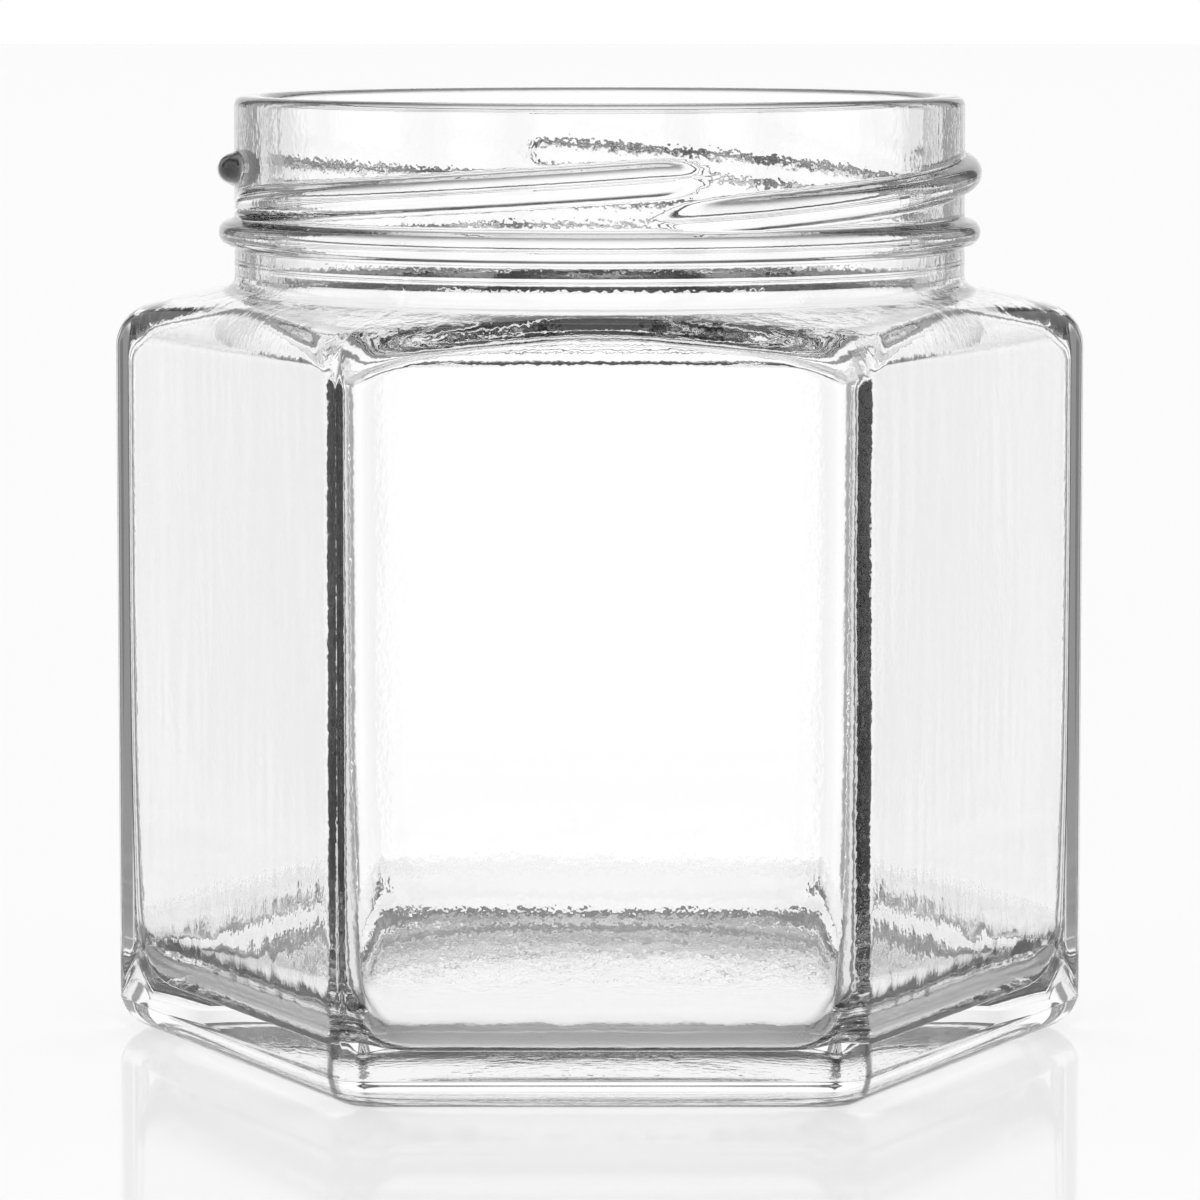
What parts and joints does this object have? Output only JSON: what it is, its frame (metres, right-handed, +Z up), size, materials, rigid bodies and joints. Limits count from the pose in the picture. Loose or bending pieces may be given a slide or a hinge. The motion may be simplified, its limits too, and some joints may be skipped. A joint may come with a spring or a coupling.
{
  "type": "hexagonal canning jar",
  "caption": "Empty clear glass jar with a hexagonal body, a rounded shoulder and a round screw neck for a twist-off lid, open at the top.",
  "frame": {"origin": "centre of the base, on the surface the jar stands on", "axes": "+Z up along the jar's axis, -Y out of the front panel, +X through a corner to the right"},
  "size_m": [0.08, 0.0702, 0.0777],
  "materials": {
    "clear_glass": "polished"
  },
  "bodies": {
    "root": {"jar": "clear_glass"}
  },
  "joints": []
}
